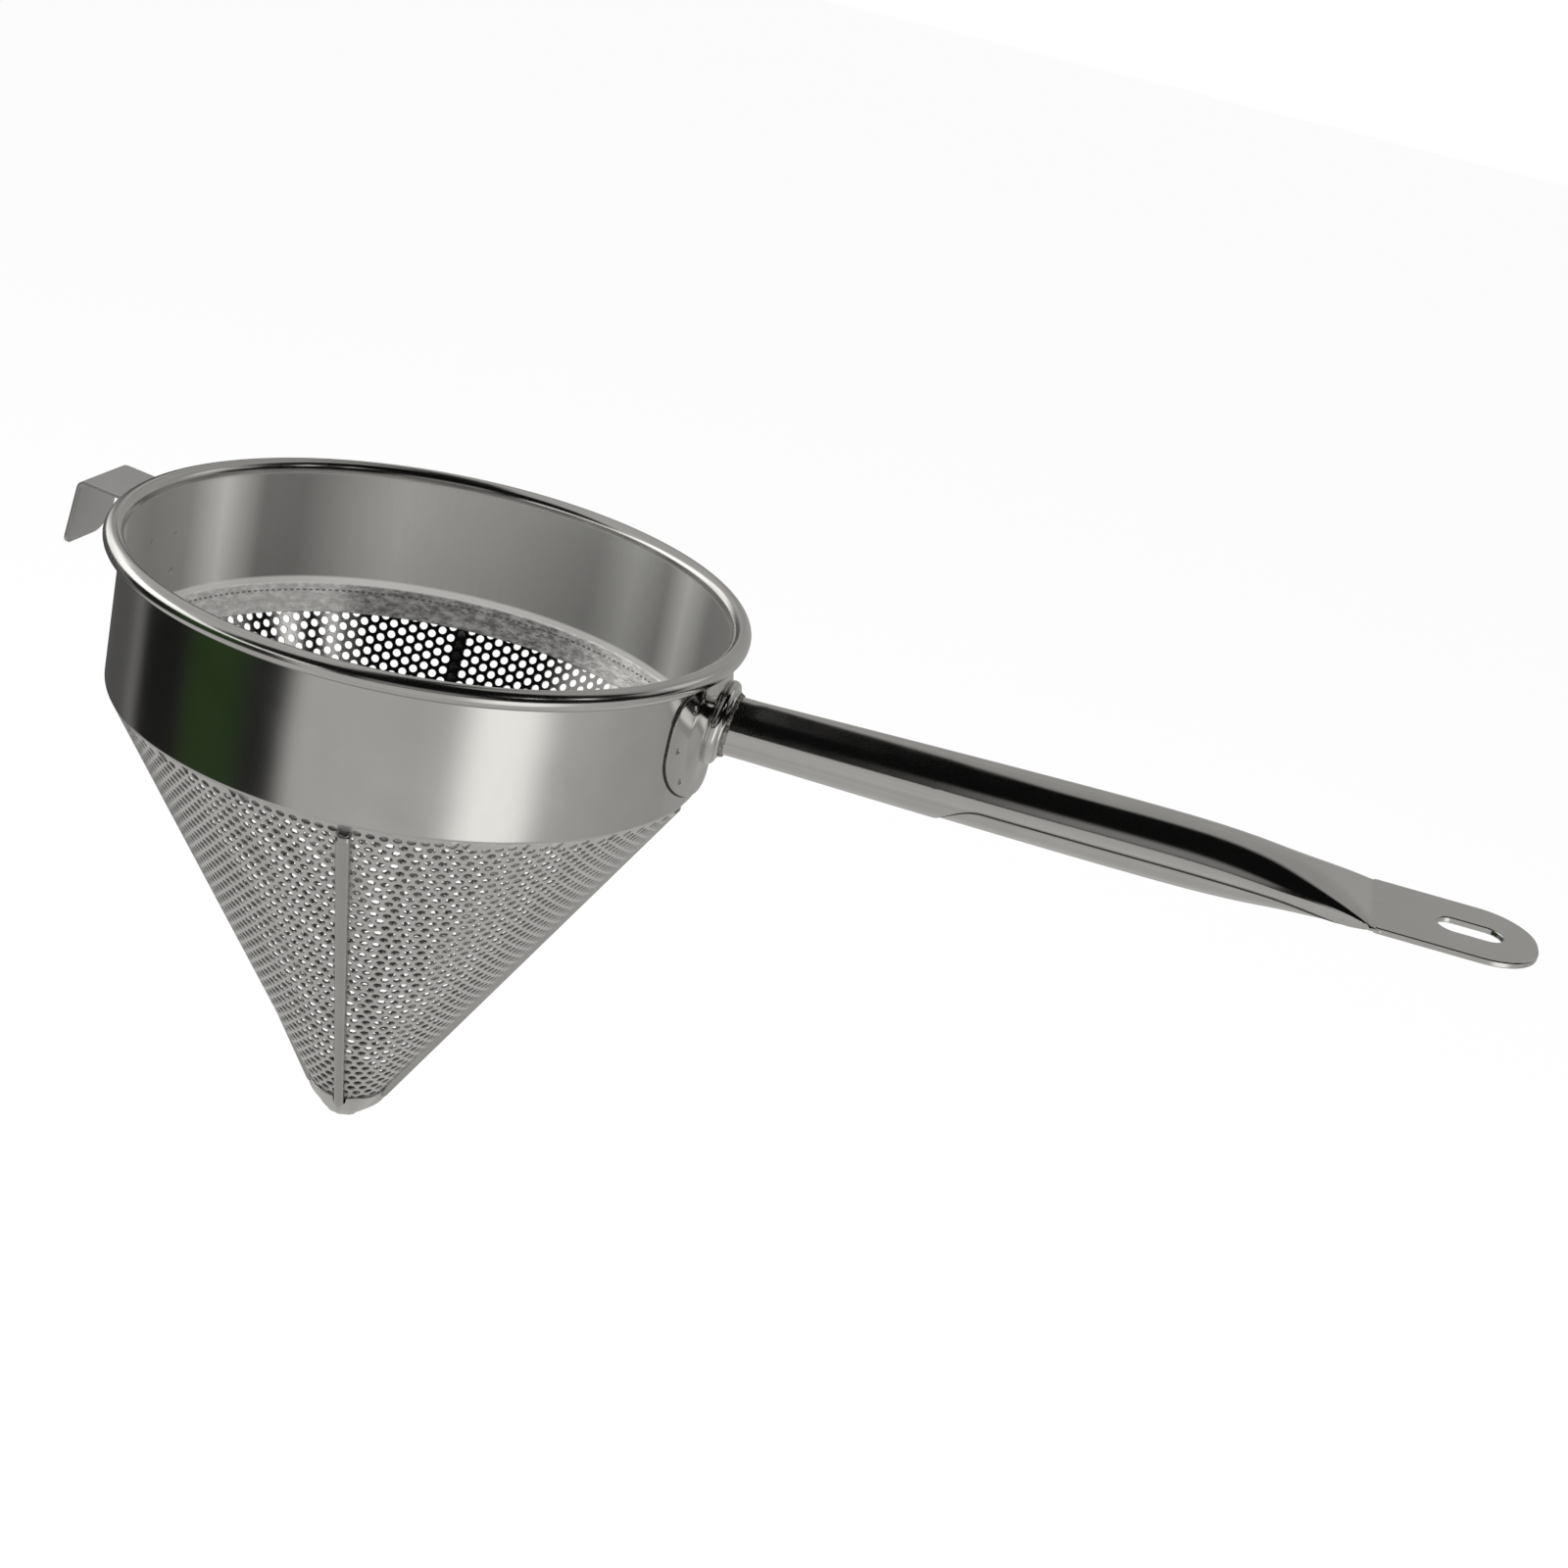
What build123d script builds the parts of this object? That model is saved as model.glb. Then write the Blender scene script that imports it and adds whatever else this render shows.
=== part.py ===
from build123d import *
import os
from math import atan2, cos, degrees, floor, pi, sin

os.makedirs("parts", exist_ok=True)

# Conical strainer in millimetres. The origin is the centre of the mouth, level with the middle
# of the rolled rim. Z points up along the cone's axis and X along the handle.

# Band round the mouth
band_radius = 110.0  # outside of the wall
band_sheet = 0.8
band_height = 53.4  # middle of the rim down to the outside corner of the strainer sheet
bead_radius = 3.6  # outside of the rolled rim
bead_turn = 310.0  # degrees that the rim is rolled through
bend_radius = 4.0  # outside of the bend above the turned-in flange
flange_length = 11.0  # turned-in edge that carries the strainer sheet

# Strainer sheet
cone_depth = 182.3  # from its upper corner to the point that its sides aim at
cone_sheet = 0.8
cone_end_slant = 13.0  # open lower end, measured from that point along the side
hole_width = 11.4  # across the corners of each six-sided opening
hole_pitch = 19.0
hole_margin = 4.5  # plain sheet between the openings and the flange or the cap

# Ribs, pressed channels on the outside of the cone
rib_count = 4
rib_turn = 8.5  # degrees between the handle and the rib beside it
rib_top_width = 5.0
rib_tip_width = 3.6
rib_height = 3.2
rib_sheet = 0.8
rib_crown = 1.2  # rounding of the channel's long edges
rib_top_gap = 3.5  # bare sheet between the band and the rib's open end
rib_end_slant = 24.0

# Cap over the point
cap_sheet = 0.8
cap_nose_radius = 8.0
cap_edge_slant = 28.0
cap_lobe_radius = 3.6  # bulge that wraps a rib's closed end
cap_lobe_slant = 22.0
cap_lobe_rise = 0.8
cap_notch_gap = 0.3
cap_fit = 0.05

# Saddle plate and socket of the handle
plate_sheet = 1.0
plate_width = 75.0
plate_height = 43.0
handle_drop = 25.0  # middle of the rim down to the handle's axis
socket_flare_radius = 24.0  # where the drawn cone leaves the band
socket_ring_place = 3.4  # plate's outside to the middle of the larger rolled ring
socket_ring_radius = 16.0
socket_ring_roll = 2.6
socket_collar_radius = 13.2
socket_collar_roll = 1.5
socket_length = 7.5  # beyond the plate
socket_fit = 0.05
weld_size = 1.8

# Handle
neck_radius = 11.0
neck_length = 16.0  # band wall to where the straight neck ends
grip_radius = 13.25
swell_share = 0.62  # part of the swelling reached halfway along it
handle_sheet = 1.2
handle_reach = 300.0  # band wall to the end of the hanging tab
grip_place = 155.0  # band wall to the thickest part of the grip
tab_length = 50.0
tab_width = 45.0
tab_thick = 2.4
grip_lift = 1.0  # rise of the handle's middle line from the band to the grip
tab_lift = 1.3  # and to the tab
tab_root = 8.0  # plate's run inside the flattened shell
flatten_steps = 8
flatten_power = 2.3  # how late along its run the grip flattens
flatten_share = 0.94  # how near the last ring comes to the tab's width and thickness
tab_end_radius = 15.0
slot_length = 25.0
slot_width = 12.0
slot_inset = 23.0  # tab's end to the middle of the slot
seam_place = 87.0  # band wall to where the underside seam begins
seam_rise = 27.0  # run over which the seam climbs from the underside to the side
seam_level = 2.5  # seam's height below the handle's axis
belly_recess = 0.55  # step from the upper shell in to the underside shell
belly_sheet = 1.0

# Hook opposite the handle
hook_turn = 174.0  # degrees round from the handle
hook_width = 28.0
hook_sheet = 1.2
hook_leg = 36.0  # welded length on the band
hook_reach = 27.0  # band wall to the outside of the drop's upper end
hook_drop = 23.5
hook_flare = 3.2  # how far the drop's lower end stands out
hook_bend = 2.4
hook_corner = 5.0
hook_bead_gap = 0.2

# What the cone's outside follows
apex_z = -band_height - cone_depth
half_angle = atan2(band_radius, cone_depth)
top_slant = band_radius / sin(half_angle)
overrun = bead_radius  # how far a cutting shape runs past what it cuts


def side_point(slant, rise):
    """Radius and height of a point on the cone's side, rise measured square to the sheet."""
    radius = slant * sin(half_angle) + rise * cos(half_angle)
    height = apex_z + slant * cos(half_angle) - rise * sin(half_angle)
    return radius, height


def side_plane(azimuth):
    """Plane through the apex that touches the cone along one of its straight lines."""
    aim = Vector(sin(half_angle), 0, cos(half_angle)).rotate(Axis.Z, azimuth)
    out = Vector(cos(half_angle), 0, -sin(half_angle)).rotate(Axis.Z, azimuth)
    return Plane(origin=(0, 0, apex_z), x_dir=aim, z_dir=out)


def turned(points):
    return revolve(Plane.XZ * make_face(Polyline(*points, close=True)), Axis.Z)


def rib_azimuth(number):
    return rib_turn + number * 360 / rib_count


def inside_of_cone(rise):
    """Solid bounded by the cone's side, grown by rise, up to the band's corner."""
    low = apex_z - rise / sin(half_angle)
    return turned([(0, low), side_point(top_slant, rise), (0, side_point(top_slant, rise)[1])])


def make_band():
    """Wall, rolled rim and turned-in flange from one sheet."""
    low_side = [side_point(top_slant - flange_length, rise) for rise in (-cone_sheet, -cone_sheet - band_sheet)]
    corners = []
    for shrink in (0, band_sheet):
        lift = (band_radius - shrink + (cone_sheet + shrink) / cos(half_angle)) * cone_depth / band_radius
        corners.append((band_radius - shrink, apex_z + lift))
    outer = FilletPolyline(low_side[0], corners[0], (band_radius, 0), radius=bend_radius)
    inner = FilletPolyline(low_side[1], corners[1], (band_radius - band_sheet, 0), radius=bend_radius - band_sheet)
    centre = (band_radius - band_sheet + bead_radius, 0)
    outer_roll = CenterArc(centre, bead_radius - band_sheet, 180, -bead_turn)
    inner_roll = CenterArc(centre, bead_radius, 180, -bead_turn)
    ends = [Line(low_side[0], low_side[1]), Line(outer_roll @ 1, inner_roll @ 1)]
    section = make_face([outer, inner, outer_roll, inner_roll] + ends)
    return revolve(Plane.XZ * section, Axis.Z)


def make_strainer_cone():
    """Perforated sheet rolled into a cone, open at both ends, its openings in staggered rings."""
    corners = [side_point(top_slant, 0), side_point(cone_end_slant, 0)]
    corners += [side_point(cone_end_slant, -cone_sheet), side_point(top_slant, -cone_sheet)]
    punch = extrude(Pos(0, 0, -2 * cone_sheet) * RegularPolygon(hole_width / 2, 6), 3 * cone_sheet)
    highest = top_slant - flange_length - hole_margin - hole_width / 2
    lowest = cap_edge_slant + hole_margin + hole_width / 2
    rings = floor((highest - lowest) / (hole_pitch * cos(pi / 6)))
    openings = []
    for ring in range(rings + 1):
        slant = highest - ring * hole_pitch * cos(pi / 6)
        count = floor(2 * pi * slant * sin(half_angle) / hole_pitch)
        for number in range(count):
            azimuth = (number + ring % 2 / 2) * 360 / count
            openings.append(side_plane(azimuth) * Pos(slant, 0, 0) * punch)
    return turned(corners) - openings


def rib_outline(inset, start, end):
    """Tapered strip with a round lower end, drawn on the plane that touches the cone."""
    tip = rib_tip_width / 2 - inset
    top = rib_top_width / 2 - inset
    strip = make_face(Polyline((start, -tip), (end, -top), (end, top), (start, tip), close=True))
    return strip + Pos(start, 0) * Circle(tip)


def make_rib(number):
    """Channel with a closed round lower end and an open upper end, seated on the cone."""
    low = rib_end_slant + rib_tip_width / 2
    high = top_slant - rib_top_gap
    where = side_plane(rib_azimuth(number))
    body = extrude(Pos(0, 0, -rib_sheet) * rib_outline(0, low, high), rib_height + rib_sheet)
    crown = body.faces().sort_by(Axis.Z)[-1].edges().filter_by(lambda e: e.center().X < high - rib_crown)
    body = fillet(crown, rib_crown)
    hollow = extrude(Pos(0, 0, -rib_sheet) * rib_outline(rib_sheet, low, high + overrun), rib_height)
    return where * (body - hollow) - inside_of_cone(0)


def make_tip_cap():
    """Drawn cup over the cone's point, bulged round each rib's end and notched for the rib."""
    bore = cap_nose_radius - cap_sheet
    centre_z = apex_z + (bore - cap_fit) / sin(half_angle)
    turn = 90 - degrees(half_angle)
    outer = CenterArc((0, centre_z), cap_nose_radius, -90, turn)
    brim = side_point(cap_edge_slant, cap_sheet + cap_fit)
    outer_side = Polyline(outer @ 1, brim, side_point(cap_edge_slant, -cap_sheet),
                          (0, side_point(cap_edge_slant, -cap_sheet)[1]), outer @ 0)
    inner = CenterArc((0, centre_z), bore, -90, turn)
    inner_side = Polyline(inner @ 1, side_point(top_slant, cap_fit), (0, -band_height), inner @ 0)
    cap = revolve(Plane.XZ * make_face([outer, outer_side]), Axis.Z)
    hollow = revolve(Plane.XZ * make_face([inner, inner_side]), Axis.Z)
    notch_start = rib_end_slant + rib_tip_width / 2
    outline = rib_outline(-cap_notch_gap, notch_start, notch_start + cap_edge_slant)
    notch = extrude(Pos(0, 0, -overrun) * outline, rib_height + overrun + cap_notch_gap)
    sides = [side_plane(rib_azimuth(number)) for number in range(rib_count)]
    cap += [side * Pos(cap_lobe_slant, 0, cap_lobe_rise) * Sphere(cap_lobe_radius) for side in sides]
    cap -= hollow
    return cap - [side * notch for side in sides]


def handle_plane(place):
    """Plane across the handle at a distance from the band's wall, its X axis sideways."""
    return Plane(origin=(band_radius + place, 0, -handle_drop), x_dir=(0, 1, 0), z_dir=(1, 0, 0))


def make_handle_flange():
    """Plate bent to the band with a drawn, double-rolled socket."""
    prism = extrude(handle_plane(-band_radius / 2) * Ellipse(plate_width / 2, plate_height / 2), band_radius)
    skin = Cylinder(band_radius + plate_sheet, 2 * band_height) - Cylinder(band_radius, 2 * band_height)
    plate = skin & prism
    root = band_radius + plate_sheet - (socket_flare_radius ** 2) / (2 * band_radius)
    ring_x = band_radius + plate_sheet + socket_ring_place
    end_x = band_radius + plate_sheet + socket_length
    collar_x = end_x - socket_collar_roll
    flare = Polyline((root, 0), (root, socket_flare_radius), (ring_x - socket_ring_roll / 2, socket_ring_radius - plate_sheet),
                     (collar_x, neck_radius + socket_collar_roll), (collar_x, 0), close=True)
    section = make_face(flare)
    section += Pos(ring_x, socket_ring_radius - socket_ring_roll) * Circle(socket_ring_roll)
    section += Pos(collar_x, socket_collar_radius - socket_collar_roll) * Circle(socket_collar_roll)
    upper = Pos(ring_x, band_radius / 2) * Rectangle(band_radius, band_radius)
    boss = revolve(Plane.XZ * (section & upper), Axis.X)
    boss = Pos(0, 0, -handle_drop) * boss - Cylinder(band_radius, 2 * band_height)
    bore = extrude(handle_plane(plate_sheet) * Circle(neck_radius + socket_fit), socket_length + overrun)
    return plate + boss - bore


def make_handle_weld():
    """Fillet bead between the socket's collar and the tube."""
    start = band_radius + plate_sheet + socket_length
    profile = make_face(Polyline((start, neck_radius), (start, neck_radius + weld_size),
                                 (start + weld_size / 2, neck_radius + weld_size / 2),
                                 (start + weld_size, neck_radius), close=True))
    return Pos(0, 0, -handle_drop) * revolve(Plane.XZ * profile, Axis.X)


def handle_ring(place, lift, half_width, half_height):
    """Oval section of the handle, lifted from its axis."""
    return handle_plane(place) * Pos(0, lift) * Ellipse(half_width, half_height)


def handle_shape(inset, start):
    """Round neck that swells to the grip and flattens to the tab, drawn in by inset."""
    flat_run = handle_reach - tab_length - grip_place
    halfway = (neck_length + grip_place) / 2
    middle = neck_radius + (grip_radius - neck_radius) * swell_share
    rings = [handle_ring(neck_length, 0, neck_radius - inset, neck_radius - inset),
             handle_ring(halfway, grip_lift / 2, middle - inset, middle - inset),
             handle_ring(grip_place, grip_lift, grip_radius - inset, grip_radius - inset)]
    for step in range(1, flatten_steps + 1):
        along = step / flatten_steps
        flat = flatten_share * along ** flatten_power
        wide = grip_radius + (tab_width / 2 - grip_radius) * flat
        high = grip_radius + (tab_thick / 2 - grip_radius) * flat
        lift = grip_lift + (tab_lift - grip_lift) * along
        rings.append(handle_ring(grip_place + flat_run * along, lift, wide - inset, high - inset))
    neck = extrude(handle_plane(start) * Circle(neck_radius - inset), neck_length - start)
    return neck + loft(rings, ruled=True)


def seam_region():
    """Space below the seam line, from its pointed start on the underside to the tab."""
    steep = 2 * grip_radius
    line = FilletPolyline((seam_place - seam_rise / 2, -steep), (seam_place + seam_rise / 2, -seam_level),
                          (handle_reach - tab_length, tab_lift - seam_level / 2), radius=seam_rise / 2)
    edge = Polyline(line @ 1, (handle_reach - tab_length, -steep), line @ 0)
    prism = extrude(Plane.XZ * make_face([line, edge]), tab_width, both=True)
    return Pos(band_radius, 0, -handle_drop) * prism


def tab_plate():
    """Flat end of the handle, before its slot is cut."""
    inner_end = handle_reach - tab_length - tab_root
    plate = Pos((inner_end + handle_reach) / 2, 0) * Rectangle(handle_reach - inner_end, tab_width)
    plate = fillet(plate.vertices().group_by(Axis.X)[-1], tab_end_radius)
    plate = extrude(plate, tab_thick / 2, both=True)
    return Pos(band_radius, 0, tab_lift - handle_drop) * plate


def make_handle():
    """Upper shell with its neck tube and the slotted hanging tab."""
    start = plate_sheet + socket_fit
    shell = handle_shape(0, start) - handle_shape(handle_sheet, start - overrun)
    slot = extrude(SlotOverall(slot_length, slot_width), tab_width, both=True)
    slot = Pos(band_radius + handle_reach - slot_inset, 0, -handle_drop) * slot
    return shell - seam_region() + tab_plate() - slot


def make_handle_underside():
    """Pressed sheet that closes the handle below the seam, a little inside the upper shell."""
    start = plate_sheet + socket_fit
    sheet = handle_shape(belly_recess, start) - handle_shape(belly_recess + belly_sheet, start)
    return (sheet & seam_region()) - tab_plate()


def make_hook():
    """Strip welded to the band's outside, bent out under the rim and down again."""
    top = -bead_radius - hook_bead_gap
    sunk = band_radius - hook_width ** 2 / (4 * band_radius)
    leg = band_radius + hook_sheet
    reach = band_radius + hook_reach
    low = top - hook_drop
    upper = FilletPolyline((sunk, top - hook_leg), (sunk, top), (reach, top), (reach + hook_flare, low),
                           radius=hook_bend + hook_sheet)
    lower = FilletPolyline((leg, top - hook_leg), (leg, top - hook_sheet), (reach - hook_sheet, top - hook_sheet),
                           (reach + hook_flare - hook_sheet, low), radius=hook_bend)
    ends = [Line(upper @ 0, lower @ 0), Line(upper @ 1, lower @ 1)]
    strip = extrude(Plane.XZ * make_face([upper, lower] + ends), hook_width / 2, both=True)
    drop_end = strip.faces().sort_by(Axis.X)[-1].edges().sort_by(Axis.Z)[0].center()
    tips = strip.edges().filter_by(lambda e: abs(e.center().Z - drop_end.Z) < hook_sheet and e.length < 2 * hook_sheet
                                   and e.center().X > reach)
    hook = fillet(tips, hook_corner) - Cylinder(band_radius, 2 * band_height)
    return Rot(0, 0, hook_turn) * hook


parts = {"band": make_band(), "strainer_cone": make_strainer_cone(), "tip_cap": make_tip_cap(),
         "handle_flange": make_handle_flange(), "handle_weld": make_handle_weld(), "handle": make_handle(),
         "handle_underside": make_handle_underside(), "hook": make_hook()}
for number in range(rib_count):
    parts[f"rib_{number + 1}"] = make_rib(number)

for name, part in parts.items():
    part.label = name
    export_step(part, f"parts/{name}.step")
    print(name, round(part.volume, 1), part.is_valid, len(part.solids()))
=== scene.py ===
from math import asin, atan2, ceil, copysign, cos, degrees, exp, hypot, pi, radians, sin, sqrt, tan
import bmesh
import bpy
from mathutils import Matrix, Vector, noise


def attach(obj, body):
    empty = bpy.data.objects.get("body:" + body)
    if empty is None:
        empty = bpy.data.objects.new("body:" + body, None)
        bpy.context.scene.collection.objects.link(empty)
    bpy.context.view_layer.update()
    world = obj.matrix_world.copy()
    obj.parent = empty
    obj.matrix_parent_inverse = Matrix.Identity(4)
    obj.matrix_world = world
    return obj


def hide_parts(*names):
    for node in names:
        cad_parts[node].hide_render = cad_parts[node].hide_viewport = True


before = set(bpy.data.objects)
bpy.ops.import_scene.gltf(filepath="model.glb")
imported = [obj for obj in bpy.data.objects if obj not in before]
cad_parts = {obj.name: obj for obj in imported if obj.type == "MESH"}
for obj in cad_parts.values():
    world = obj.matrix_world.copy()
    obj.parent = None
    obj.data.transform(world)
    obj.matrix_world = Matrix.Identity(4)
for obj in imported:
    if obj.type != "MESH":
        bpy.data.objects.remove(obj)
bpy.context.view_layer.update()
mm = 0.001

# The strainer in millimetres: Z up out of the mouth, X along the handle

bandSet = {"radius": 110.0, "sheet": 0.8, "height": 53.4, "bead": 3.6, "beadTurn": 310, "blend": 3.0,
           "bend": 3.0, "corner": -47.2, "flange": 6.2, "steps": 360, "bendSteps": 6, "beadSteps": 26,
           "flangeSteps": 10, "wallSteps": 6,
           "weldReach": 3.5, "weldDepth": 0.2, "weldGrain": 0.42, "weldLump": 0.5, "weldSink": 0.1}
coneSet = {"depth": 182.3, "sheet": 0.8, "endSlant": 13.0, "holePitch": 4.55, "holeWidth": 3.25,
           "holeSides": 12, "holeSlack": 0.2, "topMargin": 0.6, "edgeShare": 0.3, "seamShare": 0.15,
           "snapShare": 0.25, "seamSnapShare": 0.7, "seamSide": -81.5, "quarters": 4, "merge": 0.02,
           "skin": (-0.00055, -0.0003)}  # metres below the outer face, inside to outside

halfAngle = atan2(bandSet["radius"], coneSet["depth"])
apexZ = -bandSet["height"] - coneSet["depth"]
topSlant = bandSet["radius"] / sin(halfAngle)
sheetTop = topSlant - bandSet["blend"] * tan(halfAngle / 2)  # the wall's bend runs smoothly on to the sheet


def sidePoint(slant, rise=0.0):  # radius and height of a point on the cone's side
    return (slant * sin(halfAngle) + rise * cos(halfAngle),
            apexZ + slant * cos(halfAngle) - rise * sin(halfAngle))


def onCone(azimuth, slant, side=0.0, rise=0.0):  # side: distance across, for what stands on the cone
    r, z = sidePoint(slant, rise)
    a = radians(azimuth)
    return Vector((r * cos(a) - side * sin(a), r * sin(a) + side * cos(a), z))


# Mesh helpers

def linkMesh(name, bm, material):
    mesh = bpy.data.meshes.new(name)
    bm.to_mesh(mesh)
    bm.free()
    mesh.materials.append(material)
    piece = bpy.data.objects.new(name, mesh)
    bpy.context.scene.collection.objects.link(piece)
    return piece


def finishPiece(name, bm, material, node, smooth):
    bmesh.ops.scale(bm, vec=(mm, mm, mm), verts=bm.verts)
    piece = linkMesh(name, bm, material)
    for face in piece.data.polygons:
        face.use_smooth = True
    if smooth:
        piece.data.set_sharp_from_angle(angle=radians(smooth))
    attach(piece, "root")
    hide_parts(node)
    return piece


def addModifier(piece, kind, **settings):
    modifier = piece.modifiers.new(kind.title(), kind)
    for key, value in settings.items():
        setattr(modifier, key, value)


def addWall(piece, thickness):  # sheet thickness, inwards
    addModifier(piece, "SOLIDIFY", thickness=thickness * mm, offset=-1.0)


def addBevel(piece, width, segments, angle):
    addModifier(piece, "BEVEL", width=width * mm, segments=segments, limit_method="ANGLE",
                angle_limit=radians(angle))


def applyModifiers(piece):
    bpy.context.view_layer.update()
    made = bpy.data.meshes.new_from_object(piece.evaluated_get(bpy.context.evaluated_depsgraph_get()))
    old = piece.data
    piece.modifiers.clear()
    piece.data = made
    bpy.data.meshes.remove(old)


def spunProfile(points, steps, axis=(0, 0, 1), closed=False):
    bm = bmesh.new()
    verts = [bm.verts.new(p) for p in points]
    edges = [bm.edges.new(pair) for pair in zip(verts, verts[1:])]
    if closed:
        edges.append(bm.edges.new((verts[-1], verts[0])))
    bmesh.ops.spin(bm, geom=verts + edges, cent=(0, 0, 0), axis=axis, angle=2 * pi, steps=steps,
                   use_merge=True)
    bmesh.ops.remove_doubles(bm, verts=bm.verts, dist=1e-4)
    bmesh.ops.recalc_face_normals(bm, faces=bm.faces)
    return bm


def shapedGrid(across, along, placed, merge=0.01):  # placed gives the point for two shares from 0 to 1
    bm = bmesh.new()
    for v in bmesh.ops.create_grid(bm, x_segments=across, y_segments=along, size=0.5)["verts"]:
        v.co = placed(v.co.x + 0.5, v.co.y + 0.5)
    bmesh.ops.remove_doubles(bm, verts=bm.verts, dist=merge)
    bmesh.ops.recalc_face_normals(bm, faces=bm.faces)
    return bm


def turnOutward(bm, outward):
    if sum(f.normal.dot(outward(f.calc_center_median())) * f.calc_area() for f in bm.faces) < 0:
        bmesh.ops.reverse_faces(bm, faces=bm.faces)


def arcPoints(cx, cy, radius, start, turn, count):
    angles = [radians(start + turn * i / count) for i in range(count + 1)]
    return [(cx + radius * cos(a), cy + radius * sin(a)) for a in angles]


def smoothStep(x):
    x = min(1.0, max(0.0, x))
    return x * x * (3 - 2 * x)


# Shader helpers

class Signal:
    def __init__(self, paint, socket):
        self.paint, self.socket = paint, socket

    def __add__(self, other): return self.paint.math("ADD", self, other)
    def __radd__(self, other): return self.paint.math("ADD", other, self)
    def __sub__(self, other): return self.paint.math("SUBTRACT", self, other)
    def __rsub__(self, other): return self.paint.math("SUBTRACT", other, self)
    def __mul__(self, other): return self.paint.math("MULTIPLY", self, other)
    def __rmul__(self, other): return self.paint.math("MULTIPLY", other, self)
    def __truediv__(self, other): return self.paint.math("DIVIDE", self, other)
    def __pow__(self, other): return self.paint.math("POWER", self, other)


class Paint:
    def __init__(self, name):
        self.material = bpy.data.materials.new(name)
        self.material.use_nodes = True
        self.tree = self.material.node_tree
        self.shader = self.tree.nodes["Principled BSDF"]
        self.place = self.node("ShaderNodeTexCoord", {}, {}, "Object")

    def node(self, kind, settings, values, output=0):
        made = self.tree.nodes.new(kind)
        for key, value in settings.items():
            if key == "stops":
                ramp = made.color_ramp.elements
                while len(ramp) < len(value):
                    ramp.new(0.5)
                for stop, (position, tone) in zip(ramp, value):
                    stop.position = position
                    stop.color = (tone, tone, tone, 1)
            else:
                setattr(made, key, value)
        for key, value in values.items():
            self.feed(made.inputs[key], value)
        return Signal(self, made.outputs[output])

    def feed(self, socket, value):
        if isinstance(value, Signal):
            self.tree.links.new(value.socket, socket)
        else:
            socket.default_value = value

    def wire(self, **values):
        for key, value in values.items():
            self.feed(self.shader.inputs[key.replace("_", " ")], value)

    def surface(self, signal):
        self.feed(self.tree.nodes["Material Output"].inputs["Surface"], signal)

    def math(self, operation, *values):
        return self.node("ShaderNodeMath", {"operation": operation}, dict(enumerate(values)))

    def noise(self, scale, detail=3.0, rough=0.5, vector=None, warp=0.0):
        return self.node("ShaderNodeTexNoise", {}, {"Vector": vector or self.place, "Scale": scale,
                                                    "Detail": detail, "Roughness": rough, "Distortion": warp})

    def stretched(self, factors, vector=None):
        return self.node("ShaderNodeVectorMath", {"operation": "MULTIPLY"},
                         {0: vector or self.place, 1: factors})

    def range(self, value, low, high, newLow=0.0, newHigh=1.0, smooth=True):
        kind = "SMOOTHSTEP" if smooth else "LINEAR"
        return self.node("ShaderNodeMapRange", {"interpolation_type": kind},
                         {"Value": value, "From Min": low, "From Max": high,
                          "To Min": newLow, "To Max": newHigh})

    def between(self, value, lower, upper):  # 1 between two soft edges, each given from its 0 to its 1
        return self.range(value, *lower) * self.range(value, *upper)

    def mixColor(self, factor, first, second, blend="MIX"):
        return self.node("ShaderNodeMix", {"data_type": "RGBA", "blend_type": blend},
                         {0: factor, 6: first, 7: second}, 2)

    def axes(self):
        parts = self.node("ShaderNodeSeparateXYZ", {}, {0: self.place}).socket.node
        return [Signal(self, parts.outputs[i]) for i in range(3)]

    def pit(self, first, second, at, up, radius):  # soft round spot, 1 at its middle
        away = ((first - at) ** 2.0 + (second - up) ** 2.0) ** 0.5
        return self.range(away, radius * 0.25, radius, 1.0, 0.0)

    def bump(self, height, strength, distance, normal=None):
        values = {"Height": height, "Strength": strength, "Distance": distance}
        if normal:
            values["Normal"] = normal
        return self.node("ShaderNodeBump", {}, values)


steelTone = {"bright": (0.66, 0.655, 0.64, 1), "plain": (0.55, 0.545, 0.535, 1),
             "dim": (0.42, 0.415, 0.405, 1)}


def polishedSteel(name, rough=0.13, wave=0.25, grain=0.12, tones=("plain", "bright")):
    # Buffed sheet: slight waviness, faint smears and hairline scratches
    paint = Paint(name)
    smear = paint.noise(38.0, 4.0, 0.6, warp=0.8)
    scratch = paint.range(paint.noise(240.0, 5.0, 0.75, paint.stretched((1.0, 0.15, 0.5)), 0.6), 0.62, 0.75)
    tone = paint.mixColor(smear, steelTone[tones[0]], steelTone[tones[1]])
    normal = paint.bump(paint.noise(14.0, 2.0, 0.4), wave, 0.002)
    normal = paint.bump(paint.noise(900.0, 2.0, 0.7), grain, 0.00006, normal)
    paint.wire(Base_Color=tone, Metallic=1.0, Roughness=rough + 0.09 * smear + 0.08 * scratch, Normal=normal)
    return paint.material


# Band with its rolled rim and turned-in flange

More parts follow.
